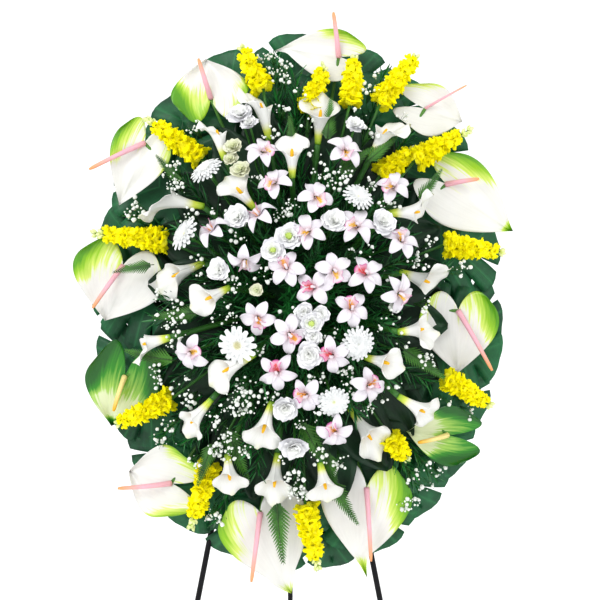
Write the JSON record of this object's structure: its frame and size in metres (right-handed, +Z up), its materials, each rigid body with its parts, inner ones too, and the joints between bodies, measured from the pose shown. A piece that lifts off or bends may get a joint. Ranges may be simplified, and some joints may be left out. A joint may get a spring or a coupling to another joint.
{
  "type": "standing funeral spray on an easel",
  "caption": "Oval funeral spray of white anthuriums, calla lilies, orchids and yellow snapdragons in monstera leaves, on a black steel folding easel.",
  "frame": {"origin": "on the floor, under the middle of the whole piece's box", "axes": "+Z up, the flowers face -Y, +X to the right as seen from the front"},
  "size_m": [0.9312, 0.686, 1.7193],
  "materials": {
    "black_paint": "satin",
    "zinc_plate": "satin",
    "black_rubber": "matte",
    "green_plastic": "satin",
    "wet_foam": "matte",
    "leaf_green": "satin",
    "spathe_white": "gloss",
    "snapdragon_yellow": "matte",
    "calla_white": "satin",
    "orchid_pink": "satin"
  },
  "bodies": {
    "spray_and_front": {"front_leg_left": "black_paint", "rubber_foot_left": "black_rubber", "front_leg_right": "black_paint", "rubber_foot_right": "black_rubber", "head_bracket": "black_paint", "hinge_bolt": "zinc_plate", "hinge_nut": "zinc_plate", "upper_hook_bar": "black_paint", "lower_ledge_bar": "black_paint", "monstera_leaf_1": "leaf_green", "monstera_leaf_2": "leaf_green", "monstera_leaf_3": "leaf_green", "monstera_leaf_4": "leaf_green", "monstera_leaf_5": "leaf_green", "monstera_leaf_6": "leaf_green", "monstera_leaf_7": "leaf_green", "monstera_leaf_8": "leaf_green", "monstera_leaf_9": "leaf_green", "monstera_leaf_10": "leaf_green", "monstera_leaf_11": "leaf_green", "monstera_leaf_12": "leaf_green", "anthurium_1": "spathe_white", "anthurium_2": "spathe_white", "anthurium_3": "spathe_white", "anthurium_4": "spathe_white", "anthurium_5": "spathe_white", "anthurium_6": "spathe_white", "anthurium_7": "spathe_white", "anthurium_8": "spathe_white", "anthurium_9": "spathe_white", "anthurium_10": "spathe_white", "anthurium_11": "spathe_white", "anthurium_12": "spathe_white", "snapdragon_1": "snapdragon_yellow", "snapdragon_2": "snapdragon_yellow", "snapdragon_3": "snapdragon_yellow", "snapdragon_4": "snapdragon_yellow", "snapdragon_5": "snapdragon_yellow", "snapdragon_6": "snapdragon_yellow", "snapdragon_7": "snapdragon_yellow", "snapdragon_8": "snapdragon_yellow", "snapdragon_9": "snapdragon_yellow", "snapdragon_10": "snapdragon_yellow", "calla_lily_1": "calla_white", "calla_lily_2": "calla_white", "calla_lily_3": "calla_white", "calla_lily_4": "calla_white", "calla_lily_5": "calla_white", "calla_lily_6": "calla_white", "calla_lily_7": "calla_white", "calla_lily_8": "calla_white", "orchid_1": "orchid_pink", "orchid_2": "orchid_pink", "orchid_3": "orchid_pink", "orchid_4": "orchid_pink", "orchid_5": "orchid_pink", "foam_tray": "green_plastic", "floral_foam": "wet_foam"},
    "rear_leg_set": {"rear_leg": "black_paint", "rubber_foot_rear": "black_rubber"}
  },
  "joints": [
    {"name": "rear_leg_fold", "type": "hinge", "parent": "spray_and_front", "child": "rear_leg_set", "pos_m": [-0.01417, 0.01944, 1.35192], "axis": [-1, 0, 0], "range_deg": [0, 23]}
  ]
}
